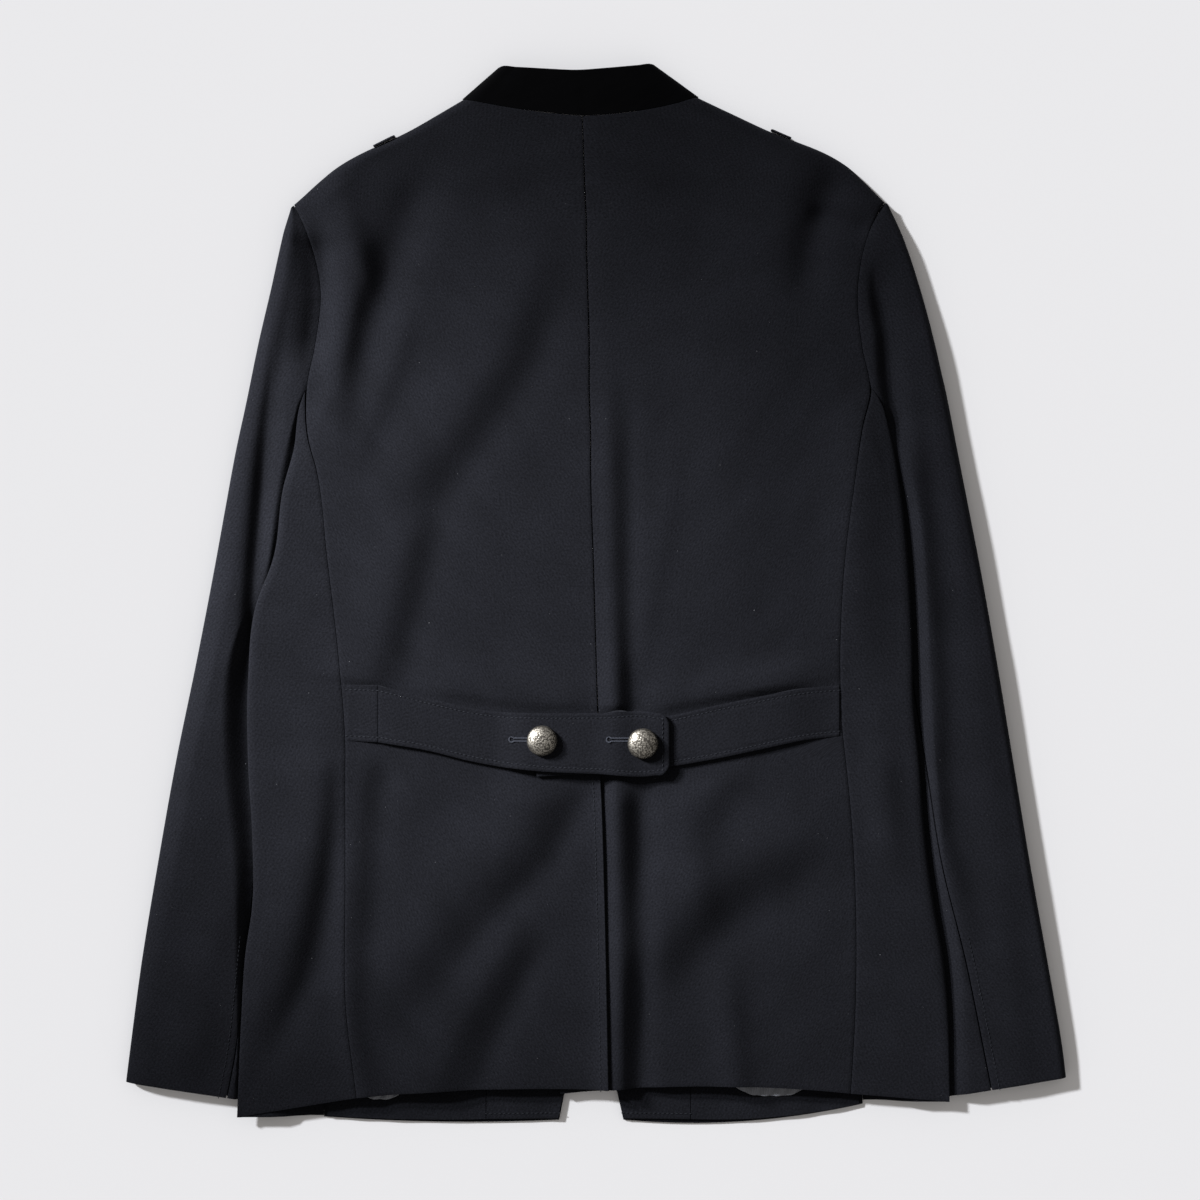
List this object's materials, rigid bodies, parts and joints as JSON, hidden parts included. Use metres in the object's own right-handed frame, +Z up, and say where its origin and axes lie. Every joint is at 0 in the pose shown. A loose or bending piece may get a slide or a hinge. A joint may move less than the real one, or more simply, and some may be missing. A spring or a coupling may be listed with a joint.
{
  "type": "trooper jacket",
  "caption": "Wool trooper jacket laid flat back up, with a velvet stand collar, princess seams, back vent and buttoned half belt.",
  "frame": {"origin": "middle of the jacket's outline on the surface that it lies on", "axes": "+Y towards the collar, +Z up out of the back, +X to the wearer's right"},
  "size_m": [0.685, 0.7728, 0.0292],
  "materials": {
    "wool": "matte wool twill",
    "velvet": "cotton velvet",
    "lining": "satin weave",
    "button": "antique silver"
  },
  "bodies": {
    "root": {"back_left": "wool", "back_right": "wool", "side_left": "wool", "side_right": "wool", "front_left": "wool", "front_right": "wool", "front_facing_left": "wool", "front_facing_right": "wool", "front_hem_left": "wool", "front_hem_right": "wool", "sleeve_left_upper": "wool", "sleeve_left_under": "wool", "sleeve_right_upper": "wool", "sleeve_right_under": "wool", "epaulette_left": "wool", "epaulette_right": "wool", "half_belt_left": "wool", "half_belt_left_end": "wool", "half_belt_right": "wool", "collar": "velvet", "front_lining_left": "lining", "front_lining_right": "lining", "belt_button_left": "button", "belt_button_right": "button"}
  },
  "joints": []
}
